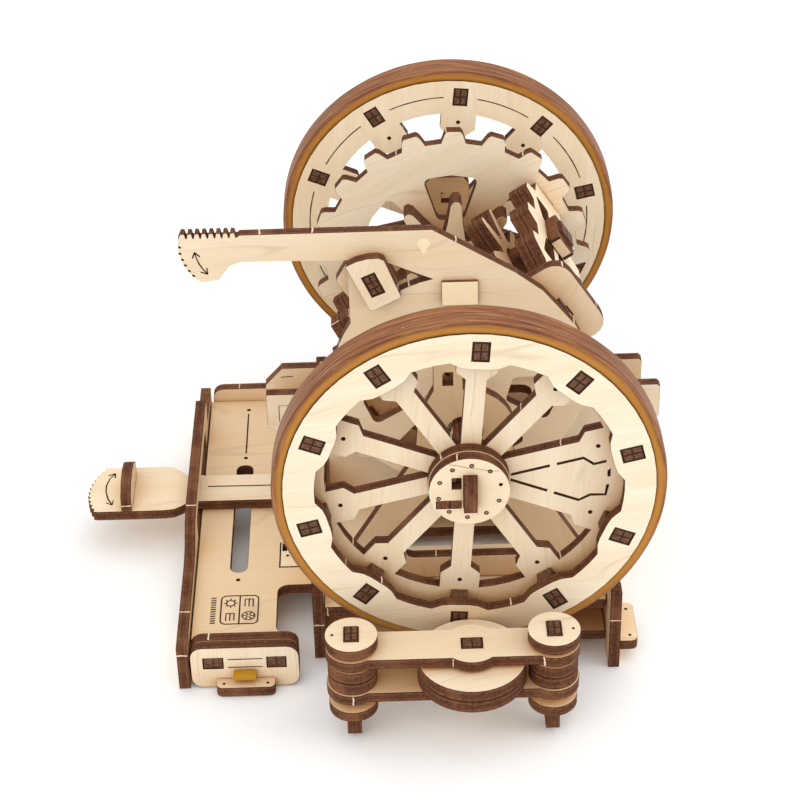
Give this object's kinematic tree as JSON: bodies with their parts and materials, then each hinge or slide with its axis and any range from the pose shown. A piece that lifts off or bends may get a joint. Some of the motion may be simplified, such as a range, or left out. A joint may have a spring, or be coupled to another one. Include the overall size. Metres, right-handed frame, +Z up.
{
  "type": "wooden mechanical puzzle",
  "caption": "Laser-cut plywood puzzle of a working wheel differential: spoked rubber-tyred wheels, ring gear, petal gears, hand levers, side tray and roller truck.",
  "frame": {"origin": "middle of the bounding box at ground level", "axes": "+X to the right as seen from the near wheel, +Y along the wheel axle away from the roller truck, +Z up"},
  "size_m": [0.163, 0.1746, 0.1155],
  "materials": {
    "birch_ply": "satin",
    "amber_rubber": "satin"
  },
  "bodies": {
    "base": {"bearing_front": "birch_ply", "bearing_rear": "birch_ply", "ear_plate_front": "birch_ply", "ear_plate_rear": "birch_ply", "frame_deck_lower": "birch_ply", "frame_deck_upper": "birch_ply", "frame_rail_left": "birch_ply", "frame_rail_right": "birch_ply", "lower_lever_pivot": "birch_ply", "side_cradle": "birch_ply", "tray_bumper_front": "amber_rubber", "tray_cradle_front": "birch_ply", "tray_end_front_a": "birch_ply", "tray_end_front_b": "birch_ply", "tray_end_rear": "birch_ply", "tray_floor": "birch_ply", "tray_lock_plate": "birch_ply", "tray_rail_outer": "birch_ply", "truck_cap_left": "birch_ply", "truck_cap_right": "birch_ply", "truck_link_lower": "birch_ply", "truck_link_upper": "birch_ply", "truck_post_left": "birch_ply", "truck_post_right": "birch_ply", "truck_roller_pin": "birch_ply", "truck_spacer_left": "birch_ply", "truck_spacer_right": "birch_ply", "truck_tie": "birch_ply"},
    "front_wheel": {"front_axle": "birch_ply", "front_hub_disc_inner": "birch_ply", "front_hub_disc_outer": "birch_ply", "front_rim_pins": "birch_ply", "front_rim_ring": "birch_ply", "front_side_gear": "birch_ply", "front_spoke_plate": "birch_ply", "front_tyre": "amber_rubber"},
    "rear_wheel": {"rear_axle": "birch_ply", "rear_hub_disc_inner": "birch_ply", "rear_hub_disc_outer": "birch_ply", "rear_rim_pins": "birch_ply", "rear_rim_ring": "birch_ply", "rear_side_gear": "birch_ply", "rear_spoke_plate": "birch_ply", "rear_tyre": "amber_rubber"},
    "cage": {"cage_front_bar": "birch_ply", "cage_strut_a": "birch_ply", "cage_strut_b": "birch_ply", "ring_gear": "birch_ply", "spider_axle_a": "birch_ply", "spider_axle_b": "birch_ply"},
    "spider_a": {"spider_gear_a": "birch_ply"},
    "spider_b": {"spider_gear_b": "birch_ply"},
    "upper_lever": {"upper_lever": "birch_ply", "upper_lever_pad": "birch_ply", "upper_lever_shoe": "birch_ply", "upper_lever_shoe_rear": "birch_ply"},
    "lower_lever": {"lower_lever": "birch_ply", "lower_lever_grip": "birch_ply"},
    "roller": {"truck_roller": "birch_ply"}
  },
  "joints": [
    {"name": "cage_spin", "type": "hinge", "parent": "base", "child": "cage", "pos_m": [0.02549, 0.05593, 0.066], "axis": [0, 1, 0], "continuous": true},
    {"name": "front_wheel_spin", "type": "hinge", "parent": "cage", "child": "front_wheel", "pos_m": [0.02549, -0.05908, 0.066], "axis": [0, 1, 0], "continuous": true},
    {"name": "rear_wheel_spin", "type": "hinge", "parent": "cage", "child": "rear_wheel", "pos_m": [0.02549, 0.07527, 0.066], "axis": [0, 1, 0], "continuous": true},
    {"name": "spider_a_spin", "type": "hinge", "parent": "cage", "child": "spider_a", "pos_m": [0.03774, 0.03193, 0.07395], "axis": [0.8387, 0, 0.5446], "continuous": true},
    {"name": "spider_b_spin", "type": "hinge", "parent": "cage", "child": "spider_b", "pos_m": [0.01325, 0.03193, 0.05805], "axis": [0.8387, 0, 0.5446], "continuous": true},
    {"name": "upper_lever_swing", "type": "hinge", "parent": "base", "child": "upper_lever", "pos_m": [0.02549, -0.00907, 0.066], "axis": [0, 1, 0], "range_deg": [-14, 18]},
    {"name": "lower_lever_swing", "type": "hinge", "parent": "base", "child": "lower_lever", "pos_m": [-0.02291, 0.01392, 0.0116], "axis": [0, 0, 1], "range_deg": [-15, 15]},
    {"name": "truck_roller_spin", "type": "hinge", "parent": "base", "child": "roller", "pos_m": [0.02534, -0.07337, 0.021], "axis": [0, 0, 1], "continuous": true}
  ],
  "couplings": [
    {"joint": "rear_wheel_spin", "follows": "front_wheel_spin", "ratio": -1},
    {"joint": "spider_a_spin", "follows": "front_wheel_spin", "ratio": 1.25},
    {"joint": "spider_b_spin", "follows": "front_wheel_spin", "ratio": -1.25}
  ]
}
